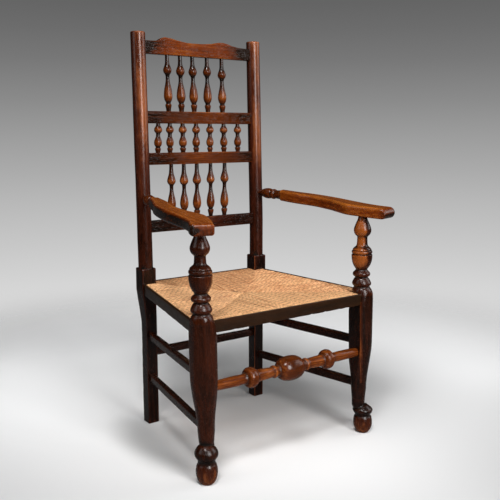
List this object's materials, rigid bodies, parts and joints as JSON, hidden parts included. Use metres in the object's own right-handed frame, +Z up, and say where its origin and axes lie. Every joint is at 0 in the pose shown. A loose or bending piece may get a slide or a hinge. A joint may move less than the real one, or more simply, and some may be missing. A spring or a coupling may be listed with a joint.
{
  "type": "spindle back armchair",
  "caption": "Rush-seated armchair with a turned spindle back, shaped arms on turned supports, offset-turned front legs and a turned front stretcher.",
  "frame": {"origin": "on the floor, below the middle of the chair's bounding box", "axes": "+Z up, -Y towards the front of the chair, +X towards the right of someone who looks at its front"},
  "size_m": [0.6508, 0.5198, 1.1205],
  "materials": {
    "dark_wood": "waxed satin, dark reddish brown",
    "worn_wood": "waxed satin, worn to orange brown",
    "turned_wood": "waxed satin, mid brown",
    "black_wood": "dull, nearly black brown",
    "rush": "matt twisted rush, straw tan"
  },
  "bodies": {
    "root": {"spindle_top_1": "turned_wood", "spindle_top_2": "turned_wood", "spindle_top_3": "turned_wood", "spindle_top_4": "turned_wood", "spindle_top_5": "turned_wood", "spindle_middle_1": "turned_wood", "spindle_middle_2": "turned_wood", "spindle_middle_3": "turned_wood", "spindle_middle_4": "turned_wood", "spindle_middle_5": "turned_wood", "spindle_middle_6": "turned_wood", "spindle_middle_7": "turned_wood", "spindle_lower_1": "turned_wood", "spindle_lower_2": "turned_wood", "spindle_lower_3": "turned_wood", "spindle_lower_4": "turned_wood", "spindle_lower_5": "turned_wood", "seat_rail_front": "dark_wood", "edge_strip_front": "black_wood", "seat_rail_back": "dark_wood", "edge_strip_back": "black_wood", "seat_rail_left": "dark_wood", "edge_strip_left": "black_wood", "seat_rail_right": "dark_wood", "edge_strip_right": "black_wood", "rush_seat": "rush", "stretcher_front": "turned_wood", "stretcher_back": "dark_wood", "stretcher_upper_left": "dark_wood", "stretcher_lower_left": "dark_wood", "stretcher_upper_right": "dark_wood", "stretcher_lower_right": "dark_wood", "back_post_left": "dark_wood", "front_leg_left": "dark_wood", "arm_left": "worn_wood", "back_post_right": "dark_wood", "front_leg_right": "dark_wood", "arm_right": "worn_wood", "back_rail_lower": "dark_wood", "back_rail_middle": "turned_wood", "back_rail_upper": "turned_wood", "crest_rail": "worn_wood"}
  },
  "joints": []
}
